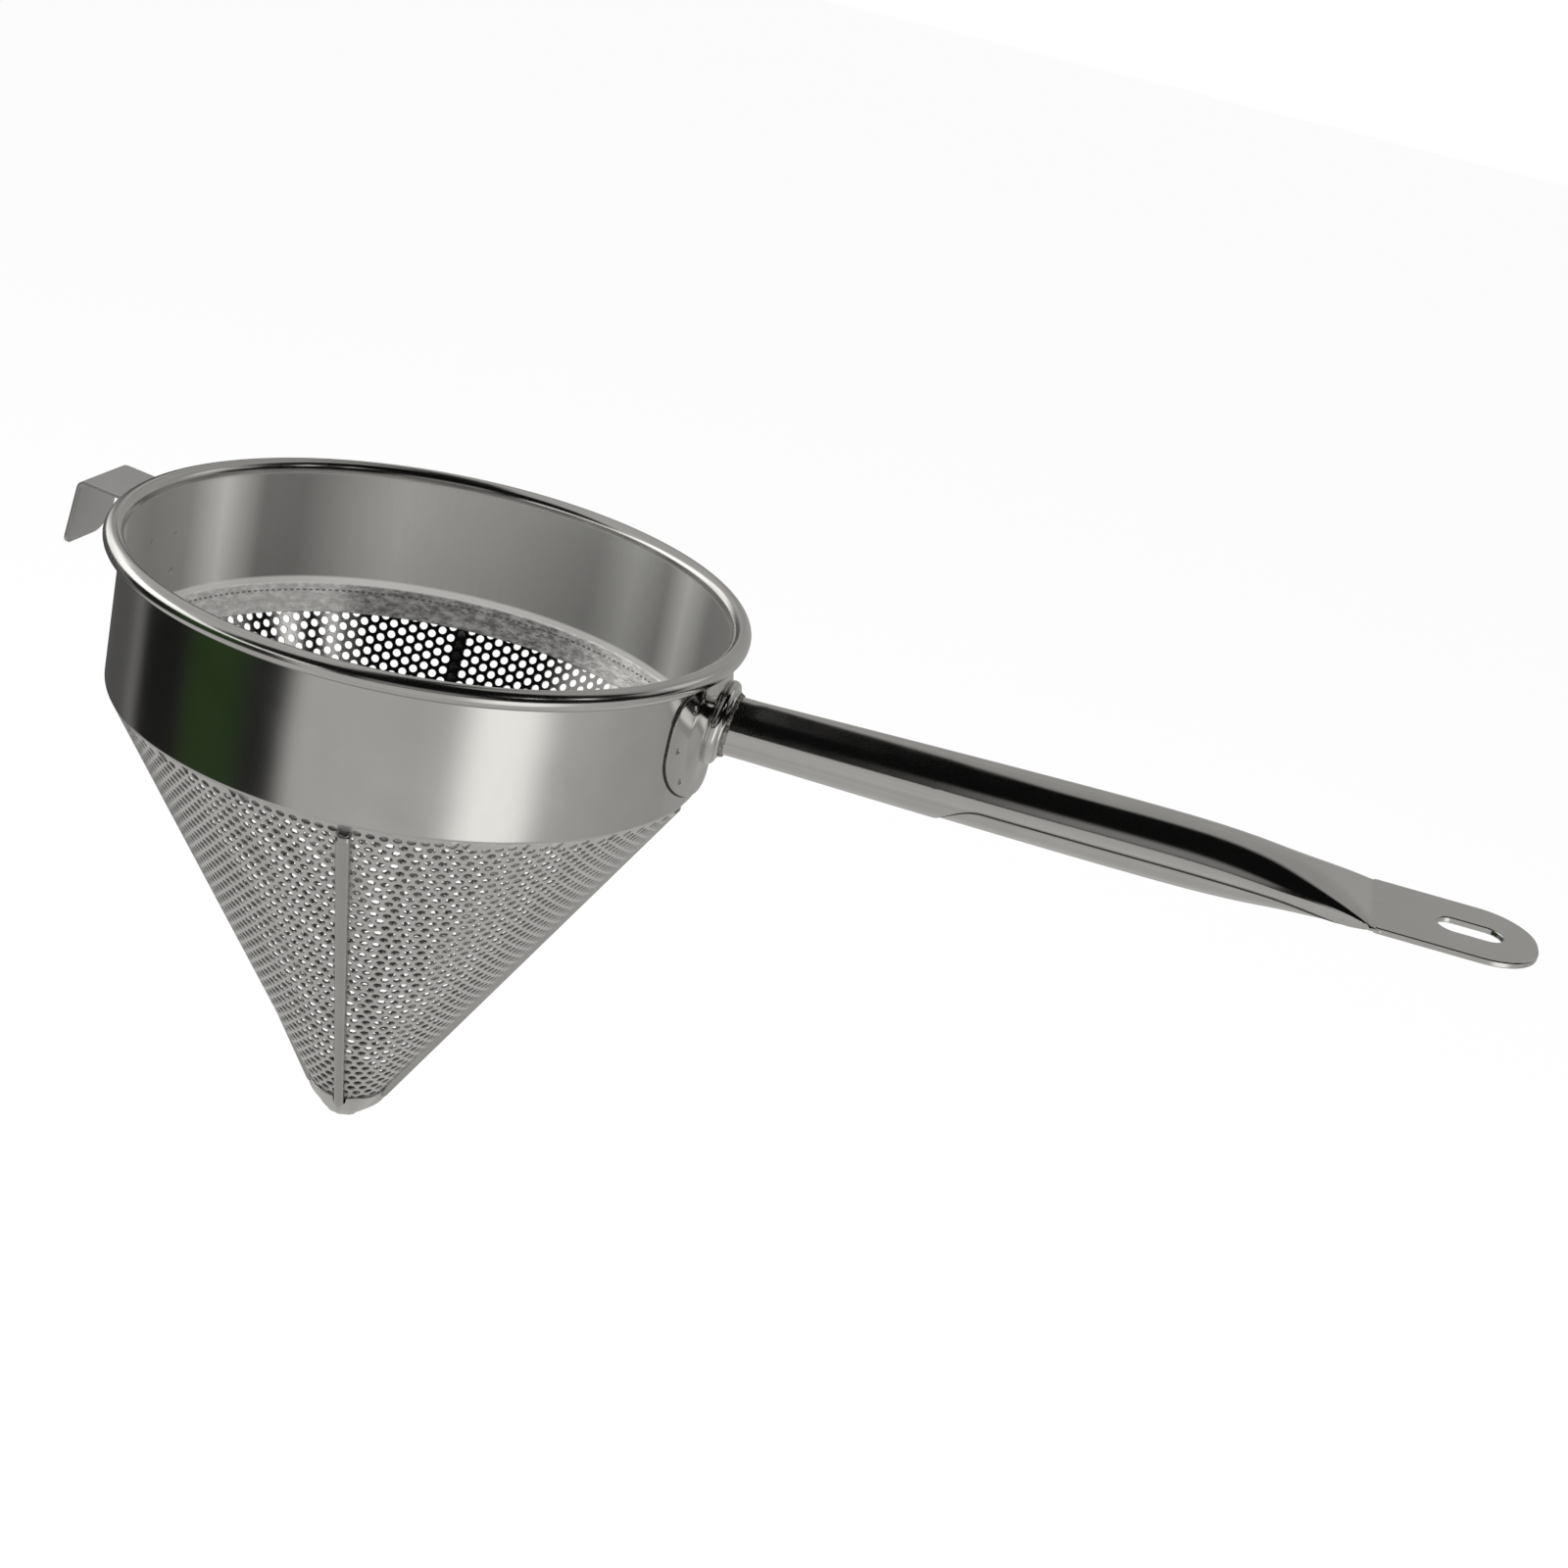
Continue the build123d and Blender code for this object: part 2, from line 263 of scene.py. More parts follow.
# The zones round the inner wall are painted sheen and painted shade in its colour
wallSet = {"paintedSheenZones": ((0.19, 0.35), (0.25, 0.85), (0.29, 0.4), (0.345, 0.66), (0.4, 0.42), (0.64, 0.82),
                     (0.76, 0.36), (0.81, 0.4), (0.866, 1.3), (0.92, 0.62), (1.0, 0.5)),
           "spots": ((178.5, -19.6), (169.6, -20.3), (169.6, -35.0), (178.5, -34.5)), "spotRadius": 0.0015,
           "inner": (0.10975, 0.10945), "brushed": (0.0, -0.002),  # radius and heights in metres
           "strip": (-0.0465, -0.0475), "bend": ((-0.0479, -0.0469), (-0.0436, -0.0449)),
           "marks": ((-0.0503, -0.0499), (-0.0492, -0.0496)), "markStep": ((0.1, 0.2), (0.75, 0.65)),
           "markCount": 40.0, "litStripZones": ((119, 129), (78, 58))}  # degrees from the handle
# The darkest and lightest weld strip tones carry painted shade and painted reflection as well as the weld's
# mottle
wallTone = {"dull": (0.56, 0.553, 0.53, 1), "lit": (0.66, 0.655, 0.63, 1), "burntAndShaded": (0.06, 0.058, 0.055, 1),
            # the edge tone is a painted highlight along the inside bend
            "scouredAndLit": (0.82, 0.81, 0.79, 1), "mark": (0.05, 0.048, 0.045, 1), "edge": (0.95, 0.94, 0.92, 1)}


def bandSteel():
    # Outside buffed bright, inside brushed up and down, with the welds of hook and seam
    s, paint = wallSet, Paint("bandSteel")
    x, y, z = paint.axes()
    azimuth = paint.math("ARCTAN2", y, x)
    reach = bandSet["radius"] * mm
    inside = paint.range((x * x + y * y) ** 0.5, *s["inner"])
    strip = inside * paint.range(z, *s["strip"])
    around = paint.node("ShaderNodeCombineXYZ", {}, {0: azimuth * reach, 1: z, 2: 0.0})
    streak = paint.noise(1.0, 4.0, 0.65, paint.stretched((1500.0, 60.0, 1.0), around))
    lathe = paint.noise(1.0, 3.0, 0.6, paint.stretched((14.0, 900.0, 1.0), around))
    smear = paint.noise(30.0, 4.0, 0.6, warp=0.7)
    satin = inside * paint.range(z, *s["brushed"])
    tone = paint.mixColor(smear, steelTone["plain"], steelTone["bright"])
    # Brushed wall: soft painted lighter and darker zones round it, the same on both sides: painted sheen and
    # painted shade standing in for reflections of light
    apart = paint.math("ABSOLUTE", azimuth)
    paintedSheenZones = paint.node("ShaderNodeValToRGB", {"stops": s["paintedSheenZones"]}, {0: apart / pi})
    dull = paint.mixColor(streak, wallTone["dull"], wallTone["lit"])
    dull = paint.mixColor(1.0, dull, paintedSheenZones, "MULTIPLY")
    # Weld strip: a painted highlight along the bend, a row of short marks, mottled further round, with
    # painted lighter zones (reflection) and painted shade between them
    mottle = paint.range(paint.noise(1.0, 4.0, 0.7, paint.stretched((200.0, 420.0, 1.0), around)), 0.36, 0.66)
    # painted reflection: lighter zones round the weld strip, by azimuth
    litStripZones = sum(paint.range(apart, radians(start), radians(end)) for start, end in s["litStripZones"])
    shade = 0.1 + 0.5 * litStripZones + 0.35 * mottle
    stripTone = paint.mixColor(shade, wallTone["burntAndShaded"], wallTone["scouredAndLit"])
    step = paint.math("FRACT", apart * s["markCount"])
    marks = paint.between(step, *s["markStep"]) * paint.between(z, *s["marks"])
    stripTone = paint.mixColor(marks * 0.7, stripTone, wallTone["mark"])
    dull = paint.mixColor(strip, dull, stripTone)
    # painted highlight: a bright line along the inside bend
    dull = paint.mixColor(inside * paint.between(z, *s["bend"]) * 0.75, dull, wallTone["edge"])
    normal = paint.bump(paint.noise(11.0, 2.0, 0.4), 0.3, 0.002)
    normal = paint.bump(streak * satin, 0.2, 0.0001, normal)
    normal = paint.bump(lathe * (1 - satin), 0.12, 0.00004, normal)
    pits = sum(paint.pit(azimuth * reach, z, radians(turn) * reach, level * mm, s["spotRadius"])
               for turn, level in s["spots"])
    normal = paint.bump(1 - pits * inside, 0.9, 0.0006, normal)
    normal = paint.bump(strip * mottle, 0.6, 0.0005, normal)
    rough = 0.13 + 0.08 * smear + satin * (0.17 + 0.12 * streak)
    paint.wire(Base_Color=paint.mixColor(satin, tone, dull), Metallic=1 - 0.55 * satin, Roughness=rough,
               Normal=normal)
    return paint.material


def makeBand(material):
    s = bandSet
    wall = s["radius"] - s["sheet"]
    outerLine = [sidePoint(topSlant - s["flange"], -coneSet["sheet"]), sidePoint(sheetTop, -coneSet["sheet"])]
    outerLine += arcPoints(s["radius"] - s["blend"], topSlant - sheetTop - s["height"], s["blend"],
                           -degrees(halfAngle), degrees(halfAngle), s["bendSteps"])
    end = sidePoint(topSlant - s["flange"], -coneSet["sheet"] - s["sheet"])
    across, up = wall - end[0], s["corner"] - end[1]
    lean = atan2(across, up)
    innerLine = [(end[0] + across * i / s["flangeSteps"], end[1] + up * i / s["flangeSteps"])
                 for i in range(s["flangeSteps"] - 1)]
    innerLine += arcPoints(wall - s["bend"], s["corner"] + s["bend"] * tan(lean / 2), s["bend"],
                           -degrees(lean), degrees(lean), s["bendSteps"])
    for line, x, roll in ((outerLine, s["radius"], s["bead"] - s["sheet"]), (innerLine, wall, s["bead"])):
        line += [(x, line[-1][1] * (1 - i / s["wallSteps"])) for i in range(1, s["wallSteps"])]
        line += arcPoints(wall + s["bead"], 0, roll, 180, -s["beadTurn"], s["beadSteps"])
    bm = spunProfile([(x, 0, z) for x, z in outerLine + innerLine[::-1]], s["steps"], closed=True)
    for v in bm.verts:  # uneven seam weld along the turned-in edge
        lift = (end[1] + s["weldReach"] - v.co.z) / s["weldReach"]
        if lift > 0 and hypot(v.co.x, v.co.y) < end[0] + (v.co.z - end[1]) * tan(halfAngle) + s["weldDepth"]:
            lump = noise.noise(v.co * s["weldGrain"]) * s["weldLump"] - s["weldSink"]
            v.co += v.co.normalized() * lump * lift
    finishPiece("bandShell", bm, material, "band", 50)


# Perforated sheet: a flat hexagonal pattern, cut to a sector and rolled up

def sheetSteel():
    # Mill-finish perforated sheet with a fine rolled grain
    paint = Paint("sheetSteel")
    grain = paint.noise(1300.0, 3.0, 0.7)
    cloud = paint.noise(45.0, 4.0, 0.6, warp=0.5)
    x, y, z = paint.axes()
    rise = (x * x + y * y) ** 0.5 * cos(halfAngle) - (z - apexZ * mm) * sin(halfAngle)
    outer = paint.range(rise, *coneSet["skin"])
    tone = paint.mixColor(cloud, steelTone["dim"], (0.55, 0.545, 0.53, 1))
    normal = paint.bump(grain, 0.25, 0.00008)
    normal = paint.bump(paint.noise(60.0, 2.0, 0.5), 0.2, 0.0006, normal)
    rough = 0.07 + 0.05 * cloud + outer * (0.16 + 0.05 * grain)
    paint.wire(Base_Color=tone, Metallic=1 - 0.3 * outer, Roughness=rough, Normal=normal)
    return paint.material


def makeCell():  # one hexagon of the sheet with its hole
    bm = bmesh.new()
    s = coneSet
    hexagon = bmesh.ops.create_circle(bm, segments=6, radius=s["holePitch"] / sqrt(3))["verts"]
    outerEdges = list({e for v in hexagon for e in v.link_edges})
    bmesh.ops.subdivide_edges(bm, edges=outerEdges, cuts=1)
    before = set(bm.edges)
    hole = bmesh.ops.create_circle(bm, segments=s["holeSides"], radius=s["holeWidth"] / 2)["verts"]
    holeEdges = list({e for v in hole for e in v.link_edges})
    bmesh.ops.bridge_loops(bm, edges=list(before) + holeEdges)
    mesh = bpy.data.meshes.new("cell")
    bm.to_mesh(mesh)
    bm.free()
    return mesh


def fromHole(point):  # distance to the nearest hole's middle in the flat pattern
    pitch = coneSet["holePitch"]
    row = pitch * sqrt(3) / 2
    middle = round(point.y / row)
    found = []
    for j in (middle - 1, middle, middle + 1):
        shift = 0.5 * (j % 2)
        first = round(point.x / pitch - shift)
        found += [hypot(point.x - (first + step + shift) * pitch, point.y - j * row) for step in (-1, 0, 1)]
    return min(found)


def makeSheet(material):
    s, pitch = coneSet, coneSet["holePitch"]
    row = pitch * sqrt(3) / 2
    turn = sin(halfAngle)
    half = pi * turn  # the flat sector reaches this far on each side
    low, high = s["endSlant"] + pitch * s["edgeShare"], sheetTop - s["topMargin"] - pitch * s["edgeShare"]
    rows, columns = ceil(sheetTop / row), ceil(sheetTop / pitch)
    quarters = [[] for number in range(s["quarters"])]
    for j in range(-rows, rows + 1):
        for i in range(-columns, columns + 1):
            x, y = (i + 0.5 * (j % 2)) * pitch, j * row
            slant, angle = hypot(x, y), atan2(y, x)
            if low < slant < high and abs(angle) * slant < half * slant - pitch * s["seamShare"]:
                quarter = int((angle + half) / (2 * half) * s["quarters"])
                quarters[min(s["quarters"] - 1, quarter)].append((x, y))
    print("holes in the sheet:", sum(len(places) for places in quarters))
    cell = makeCell()
    for number, places in enumerate(quarters):
        bm = bmesh.new()
        for x, y in places:
            first = len(bm.verts)
            bm.from_mesh(cell)
            bm.verts.ensure_lookup_table()
            bmesh.ops.translate(bm, vec=(x, y, 0), verts=bm.verts[first:])
        bmesh.ops.remove_doubles(bm, verts=bm.verts, dist=s["merge"])
        edge = [v for v in bm.verts if v.is_boundary and fromHole(v.co) > s["holeWidth"] / 2 + s["holeSlack"]]
        for v in edge:  # straighten the pattern's outline to the sector's edges
            slant, angle = hypot(v.co.x, v.co.y), atan2(v.co.y, v.co.x)
            if slant > high - pitch * s["snapShare"]:
                slant = sheetTop
            elif slant < low + pitch * s["snapShare"]:
                slant = s["endSlant"]
            if abs(angle) > half - pitch * s["seamSnapShare"] / slant:
                angle = half if angle > 0 else -half
            v.co = (slant * cos(angle), slant * sin(angle), 0)
        for v in bm.verts:
            slant, angle = hypot(v.co.x, v.co.y), atan2(v.co.y, v.co.x)
            v.co = onCone(s["seamSide"] + 180 + degrees(angle / turn), slant)
        bmesh.ops.recalc_face_normals(bm, faces=bm.faces)
        turnOutward(bm, lambda c: Vector((c.x, c.y, 0)))
        piece = finishPiece(f"sheetQuarter_{number + 1}", bm, material, "strainer_cone", 0)
        addWall(piece, s["sheet"])
        applyModifiers(piece)
        piece.data.set_sharp_from_angle(angle=radians(40))
    bpy.data.meshes.remove(cell)


# Ribs

ribSet = {"turn": 8.5, "count": 4, "topWidth": 5.0, "tipWidth": 3.6, "height": 3.2, "sheet": 0.8,
          "topGaps": (16.0, 3.5, 3.5, 3.5), "endSlant": 24.0, "crown": 1.3, "across": 16, "stations": 60,
          "crowding": 1.6, "crownShare": 0.95, "foot": 0.01, "least": 0.001}
ribTurns = [ribSet["turn"] + number * 360 / ribSet["count"] for number in range(ribSet["count"])]


def ribSection(u, half, height, crown):
    # Walk over the U from one foot to the other: wall, round edge, top, round edge, wall
    wall, arc, top = height - crown, crown * pi / 2, 2 * (half - crown)
    total = 2 * (wall + arc) + top
    d = u * total
    if d > total / 2:
        side, up = ribSection(1 - u, half, height, crown)
        return -side, up
    if d < wall:
        return -half, d
    if d < wall + arc:
        t = (d - wall) / crown
        return -half + crown * (1 - cos(t)), wall + crown * sin(t)
    return -half + crown + (d - wall - arc), height


def makeRib(number, material):
    s, azimuth = ribSet, ribTurns[number]
    low, high = s["endSlant"], topSlant - s["topGaps"][number]
    tipHalf = s["tipWidth"] / 2

    def placed(u, w):
        slant = low + (high - low) * w ** s["crowding"]
        share = (slant - low) / (high - low)
        half = tipHalf + (s["topWidth"] / 2 - tipHalf) * share
        rounded = slant < low + tipHalf  # the channel's round closed end
        if rounded:
            half = sqrt(max(s["least"] ** 2, tipHalf ** 2 - (low + tipHalf - slant) ** 2))
        crown = min(s["crown"], half * s["crownShare"])
        side, up = ribSection(u, half, s["height"], crown)
        if rounded:
            up = min(up, s["height"] - crown + sqrt(max(0, crown ** 2 - max(0, crown - (slant - low)) ** 2)))
        if up < s["foot"]:  # the feet follow the cone's round side
            up -= side * side / (2 * max(slant * sin(halfAngle), 1)) * cos(halfAngle)
        return onCone(azimuth, slant, side, up)

    bm = shapedGrid(s["across"], s["stations"], placed, s["least"])
    a = radians(azimuth)
    aim = Vector((cos(a) * cos(halfAngle), sin(a) * cos(halfAngle), -sin(halfAngle)))
    turnOutward(bm, lambda c: aim)
    addWall(finishPiece(f"ribShell_{number + 1}", bm, material, f"rib_{number + 1}", 50), s["sheet"])


# Tip cap

capSet = {"sheet": 0.8, "nose": 12.0, "edgeSlant": 28.0, "lobeReach": 2.9, "lobeSlant": 21.0,
          "lobeLength": 6.5, "lobeWidth": 2.604, "lobeDrop": 0.3, "gap": 0.9, "steps": 192, "noseSteps": 24,
          "sideSteps": 26, "gapSlant": 16.0, "gapRows": 11, "gapRise": 0.25, "gapSteps": 96}


def gapShadeSteel():
    # Painted shade: near-black steel put in narrow gaps and under lips, where shade falls
    paint = Paint("gapShadeSteel")
    grain = paint.noise(700.0, 2.0, 0.6)
    tone = paint.mixColor(grain, (0.012, 0.012, 0.012, 1), (0.07, 0.065, 0.06, 1))
    normal = paint.bump(grain, 0.5, 0.0002)
    paint.wire(Base_Color=tone, Metallic=0.3, Roughness=0.55 + 0.2 * grain, Normal=normal)
    return paint.material


def makeCap(material, gapShadeFinish):
    s = capSet
    # painted shade: a dark ring under the cap, seen round the ribs' ends
    under = [sidePoint(s["gapSlant"] + i, s["gapRise"]) for i in range(s["gapRows"])]
    bm = spunProfile([(x, 0, z) for x, z in under], s["gapSteps"])
    turnOutward(bm, lambda c: Vector((c.x, c.y, 0)))
    finishPiece("capGapShade", bm, gapShadeFinish, "tip_cap", 0)
    centreZ = apexZ + (s["nose"] - s["sheet"]) / sin(halfAngle)
    line = arcPoints(0, centreZ, s["nose"], -90, 90 - degrees(halfAngle), s["noseSteps"])
    start, end = Vector(line[-1]), Vector(sidePoint(s["edgeSlant"], s["sheet"]))
    line += [start.lerp(end, i / s["sideSteps"]) for i in range(1, s["sideSteps"] + 1)]
    bm = spunProfile([(x, 0, z) for x, z in line], s["steps"])
    for v in bm.verts:  # bulges that wrap the ribs' ends
        a = degrees(atan2(v.co.y, v.co.x))
        near = min(ribTurns, key=lambda turn: abs((a - turn + 180) % 360 - 180))
        side = hypot(v.co.x, v.co.y) * sin(radians(abs((a - near + 180) % 360 - 180)))
        slant = (v.co.z - apexZ) / cos(halfAngle)
        push = s["lobeReach"] * exp(-(side / s["lobeWidth"]) ** 2)
        push *= exp(-((slant - s["lobeSlant"]) / s["lobeLength"]) ** 2)
        v.co.x += push * cos(radians(near)) * cos(halfAngle)
        v.co.y += push * sin(radians(near)) * cos(halfAngle)
        v.co.z -= push * sin(halfAngle) * s["lobeDrop"]
    half = ribSet["tipWidth"] / 2 + s["gap"]
    notch = ribSet["endSlant"] - s["gap"] + half
    gone = []
    for f in bm.faces:  # round-ended notches for the ribs
        c = f.calc_center_median()
        a = degrees(atan2(c.y, c.x))
        side = hypot(c.x, c.y) * sin(radians(min(abs((a - turn + 180) % 360 - 180) for turn in ribTurns)))
        dip = (c.z - apexZ) / cos(halfAngle) - notch
        if (dip > 0 and side < half) or (dip <= 0 and hypot(side, dip) < half):
            gone.append(f)
    bmesh.ops.delete(bm, geom=gone, context="FACES")
    turnOutward(bm, lambda c: c - Vector((0, 0, centreZ)))
    addWall(finishPiece("capShell", bm, material, "tip_cap", 60), s["sheet"])


# Handle: upper shell and tab

handleSet = {"neck": 11.0, "neckLength": 16.0, "grip": 13.25, "gripPlace": 155.0, "reach": 300.0,
             "sheet": 1.2, "swell": 1.4, "tabLength": 59.0, "tabWidth": 45.0, "tabThick": 2.36,
             "gripLift": 1.0, "tabLift": 1.3, "flattenPower": 3.1, "flattenShare": 0.992,
             "squareFrom": 205, "squareRun": 46, "squareShare": 0.72,
             "start": 1.05, "overlap": 4.0, "stations": 170, "across": 56, "least": 0.2}
tabSet = {"end": 20.5, "slotLength": 23.5, "slotWidth": 12.0, "slotInset": 24.0, "root": 1.0, "inset": 0.03,
          "points": 144, "cornerSteps": 12, "slotSteps": 10, "slotBackSteps": 16, "bevel": 0.45}
seamSet = {"place": 83.0, "rise": 27.0, "level": 1.5, "soft": 6.0, "recess": 0.75, "tuck": 0.09, "sheet": 0.9,
           "lead": 6.0, "stop": 8.0, "stations": 110, "across": 32,
           "lineLead": 3.0, "lineTuck": 0.02, "lineWidth": 1.25, "lineDepth": 0.3, "lineStations": 150}


def handleForm(place):  # lift of the middle line, half width, half height
    s = handleSet
    if place <= s["gripPlace"]:
        along = max(0.0, (place - s["neckLength"]) / (s["gripPlace"] - s["neckLength"]))
        radius = s["neck"] + (s["grip"] - s["neck"]) * (1 - (1 - along) ** s["swell"])
        return s["gripLift"] * along, radius, radius
    along = (place - s["gripPlace"]) / (s["reach"] - s["tabLength"] - s["gripPlace"])
    flat = min(1.0, s["flattenShare"] * along ** s["flattenPower"])
    lift = s["gripLift"] + (s["tabLift"] - s["gripLift"]) * min(1.0, along)
    wide = s["grip"] + (s["tabWidth"] / 2 - s["grip"]) * flat
    return lift, wide, s["grip"] + (s["tabThick"] / 2 - s["grip"]) * flat


def seamAngle(place):  # where the upper shell's lip meets the oval, measured up from its side
    s, seam = handleSet, seamSet
    lift, _, high = handleForm(place)
    climb = (place - seam["place"] + seam["rise"] / 2) / seam["rise"]
    steep = -2 * s["grip"] + climb * (2 * s["grip"] - seam["level"])
    tabUnderside = s["tabLift"] - s["tabThick"] / 2
    run = (place - seam["place"]) / (s["reach"] - seam["place"])
    shallow = -seam["level"] + (tabUnderside + seam["level"]) * run
    mix = min(1.0, max(0.0, 0.5 + 0.5 * (shallow - steep) / seam["soft"]))
    level = steep * mix + shallow * (1 - mix) - seam["soft"] * mix * (1 - mix)
    return asin(max(-1.0, min(0.0, (level - lift) / high)))


def handlePoint(place, angle, inset=0.0):  # an oval that turns square as it flattens into the tab
    s = handleSet
    lift, wide, high = handleForm(place)
    square = 1 - s["squareShare"] * smoothStep((place - s["squareFrom"]) / s["squareRun"])
    c, d = cos(angle), sin(angle)
    return Vector((bandSet["radius"] + place,
                   max(s["least"], wide - inset) * copysign(abs(c) ** square, c),
                   max(s["least"], high - inset) * copysign(abs(d) ** square, d) + lift - flangeSet["drop"]))


def fromHandleAxis(point):
    return Vector((0, point.y, point.z + flangeSet["drop"]))


def makeHandle(material):
    s = handleSet
    end = s["reach"] - s["tabLength"] + s["overlap"]

    def placed(u, w):
        place = s["start"] + (end - s["start"]) * u
        lip = seamAngle(place)
        return handlePoint(place, lip + (pi - 2 * lip) * w)

    bm = shapedGrid(s["stations"], s["across"], placed)
    turnOutward(bm, fromHandleAxis)
    addWall(finishPiece("handleShell", bm, material, "handle", 50), s["sheet"])


def makeUnderside(material, gapShadeFinish):
    s = seamSet
    first = s["place"] - s["lead"]
    last = handleSet["reach"] - handleSet["tabLength"] + handleSet["overlap"] - s["stop"]

    def placed(u, w):
        place = first + (last - first) * u
        lip = min(seamAngle(place) + s["tuck"], 0.0)
        return handlePoint(place, lip - (pi + 2 * lip) * w, s["recess"])

    bm = shapedGrid(s["stations"], s["across"], placed)
    turnOutward(bm, fromHandleAxis)
    addWall(finishPiece("handleBelly", bm, material, "handle_underside", 50), s["sheet"])
    start = s["place"] - s["lineLead"]
    for number in range(2):  # painted shade: dark line under the lip, one on each side
        def onLine(u, w):
            place = start + (last - start) * u
            angle = seamAngle(place) + s["lineTuck"] - s["lineWidth"] / handleForm(place)[2] * w
            return handlePoint(place, pi - angle if number else angle, s["lineDepth"])

        bm = shapedGrid(s["lineStations"], 2, onLine)
        turnOutward(bm, fromHandleAxis)
        finishPiece(f"handleLipShade_{number + 1}", bm, gapShadeFinish, "handle_underside", 35)


def loopPoints(outline, count):  # evenly spaced points along a closed outline
    spans = [(Vector(q) - Vector(p)).length for p, q in zip(outline, outline[1:] + outline[:1])]
    total, made, index, gone = sum(spans), [], 0, 0.0
    for k in range(count):
        want = total * k / count
        while gone + spans[index] < want:
            gone += spans[index]
            index += 1
        p, q = Vector(outline[index]), Vector(outline[(index + 1) % len(outline)])
        made.append(p.lerp(q, (want - gone) / spans[index]))
    return made


def makeTab(material):
    s, grip = tabSet, handleSet
    inner, outer = grip["reach"] - grip["tabLength"] + s["root"], grip["reach"]
    half, r = grip["tabWidth"] / 2 - s["inset"], s["end"]
    outline = [(outer, 0)] + arcPoints(outer - r, half - r, r, 0, 90, s["cornerSteps"])
    outline += [(inner, half), (inner, -half)]
    outline += arcPoints(outer - r, -half + r, r, -90, 90, s["cornerSteps"])
    mid, slotEnd = outer - s["slotInset"], s["slotWidth"] / 2
    run = s["slotLength"] / 2 - slotEnd
    slot = [(mid + run + slotEnd, 0)] + arcPoints(mid + run, 0, slotEnd, 0, 90, s["slotSteps"])[1:]
    slot += arcPoints(mid - run, 0, slotEnd, 90, 180, s["slotBackSteps"])
    slot += arcPoints(mid + run, 0, slotEnd, -90, 90, s["slotSteps"])[:-1]
    bm = bmesh.new()
    level = grip["tabLift"] - flangeSet["drop"] - grip["tabThick"] / 2
    rings = []
    for points in (outline, slot):
        verts = [bm.verts.new((bandSet["radius"] + p.x, p.y, level)) for p in loopPoints(points, s["points"])]
        rings += [bm.edges.new(pair) for pair in zip(verts, verts[1:] + verts[:1])]
    bmesh.ops.bridge_loops(bm, edges=rings)
    up = bmesh.ops.extrude_face_region(bm, geom=bm.faces[:])["geom"]
    lifted = [part for part in up if isinstance(part, bmesh.types.BMVert)]
    bmesh.ops.translate(bm, vec=(0, 0, grip["tabThick"]), verts=lifted)
    bmesh.ops.recalc_face_normals(bm, faces=bm.faces)
    addBevel(finishPiece("handleTab", bm, material, "handle", 40), s["bevel"], 3, 40)


# Saddle plate with its drawn double-rolled socket, and the weld on the tube

flangeSet = {"sheet": 1.0, "width": 76.6, "height": 48.0, "sink": 3.0, "powers": (2.0, 4.0), "drop": 25.0,
             "flare": 25.0, "mouth": 15.6, "mouthRise": 2.6, "risePower": 1.1, "lowShare": 0.9, "edgeRise": 4,
             "tilt": 0.1, "ringPlace": 3.9, "ringRadius": 16.0, "ringRoll": 2.6, "collarRadius": 13.2,
             "collarRoll": 1.5, "length": 7.5, "bore": 10.9, "wall": 0.85, "bevel": 0.2, "across": 26,
             "around": 128, "gapInset": 0.12, "gapWidth": 0.62, "gapRise": 0.08, "gapAround": 160,
             "throat": ((2.2, 0.3), (2.7, -0.1)), "ringTurn": (146, -190), "collarTurn": (158, -190),
             "ringSteps": 18, "collarSteps": 12, "lip": 0.5, "steps": 128,
             "spots": ((-32.6, -2.1), (-25.9, -15.8), (-26.5, 12.0),
                       (32.6, -2.1), (25.9, -15.8), (26.5, 12.0)),
             "spotRadius": 0.0017}
weldSet = {"away": 0.35, "radius": 11.2, "long": 0.95, "thick": 0.9, "grains": (0.45, 1.3, 0.7),
           "lumps": (0.9, 0.45), "swell": 0.9, "slip": 0.7, "slipPlace": (9, 0, 0), "steps": 150}


def plateSteel():
    # Polished saddle plate with the pits of its spot welds
    s, paint = flangeSet, Paint("plateSteel")
    x, y, z = paint.axes()
    arc = paint.math("ARCTAN2", y, x) * (bandSet["radius"] * mm)
    pits = sum(paint.pit(arc, z, across * mm, (rise - s["drop"]) * mm, s["spotRadius"])
               for across, rise in s["spots"])
    smear = paint.noise(38.0, 4.0, 0.6, warp=0.8)
    tone = paint.mixColor(smear, steelTone["plain"], steelTone["bright"])
    tone = paint.mixColor(pits * 0.6, tone, (0.16, 0.15, 0.14, 1))
    normal = paint.bump(paint.noise(22.0, 2.0, 0.4), 0.15, 0.0015)
    normal = paint.bump(1 - pits, 1.0, 0.0007, normal)
    paint.wire(Base_Color=tone, Metallic=1.0, Roughness=0.06 + 0.05 * smear + 0.2 * pits, Normal=normal)
    return paint.material


def weldSteel():
    # Rough, slightly browned bead of the socket's weld
    paint = Paint("weldSteel")
    lumps = paint.noise(420.0, 3.0, 0.6)
    tone = paint.mixColor(lumps, (0.20, 0.18, 0.16, 1), (0.55, 0.53, 0.50, 1))
    normal = paint.bump(lumps, 0.8, 0.0005)
    paint.wire(Base_Color=tone, Metallic=1.0, Roughness=0.35 + 0.25 * lumps, Normal=normal)
    return paint.material


def plateEdge(angle, grown=0.0):  # an oval, squarer above than below
    s = flangeSet
    power = s["powers"][sin(angle) > 0]
    across, up = abs(cos(angle)) / (s["width"] / 2 + grown), abs(sin(angle)) / (s["height"] / 2 + grown)
    reach = (across ** power + up ** power) ** (-1 / power)
    return reach * cos(angle), reach * sin(angle) - s["sink"]


